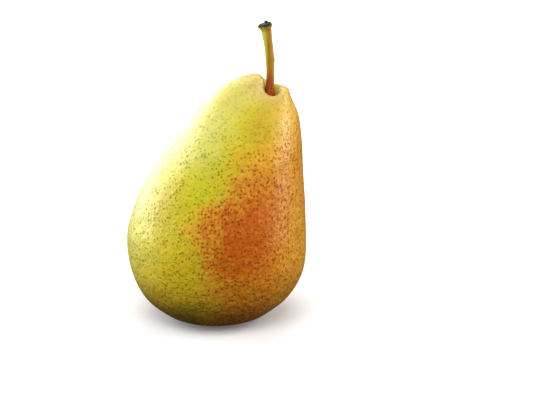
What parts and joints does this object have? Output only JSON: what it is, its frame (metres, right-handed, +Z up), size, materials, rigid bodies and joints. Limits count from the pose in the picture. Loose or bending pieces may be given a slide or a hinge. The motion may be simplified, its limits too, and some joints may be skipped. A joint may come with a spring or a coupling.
{
  "type": "pear",
  "caption": "Whole ripe pear standing on its base, with a leaning neck, a woody stalk and a dried calyx underneath.",
  "frame": {"origin": "on the resting surface, under the middle of the belly", "axes": "+Z up along the standing pear, -Y towards the viewer, +X the side to which the neck and stalk lean"},
  "size_m": [0.0666, 0.0666, 0.1124],
  "materials": {
    "pear_skin": "satin",
    "stalk_bark": "matte",
    "dried_calyx": "matte"
  },
  "bodies": {
    "root": {"fruit_body": "pear_skin", "stem": "stalk_bark", "calyx_sepal_1": "dried_calyx", "calyx_sepal_2": "dried_calyx", "calyx_sepal_3": "dried_calyx", "calyx_sepal_4": "dried_calyx", "calyx_sepal_5": "dried_calyx", "dried_stamens": "dried_calyx"}
  },
  "joints": []
}
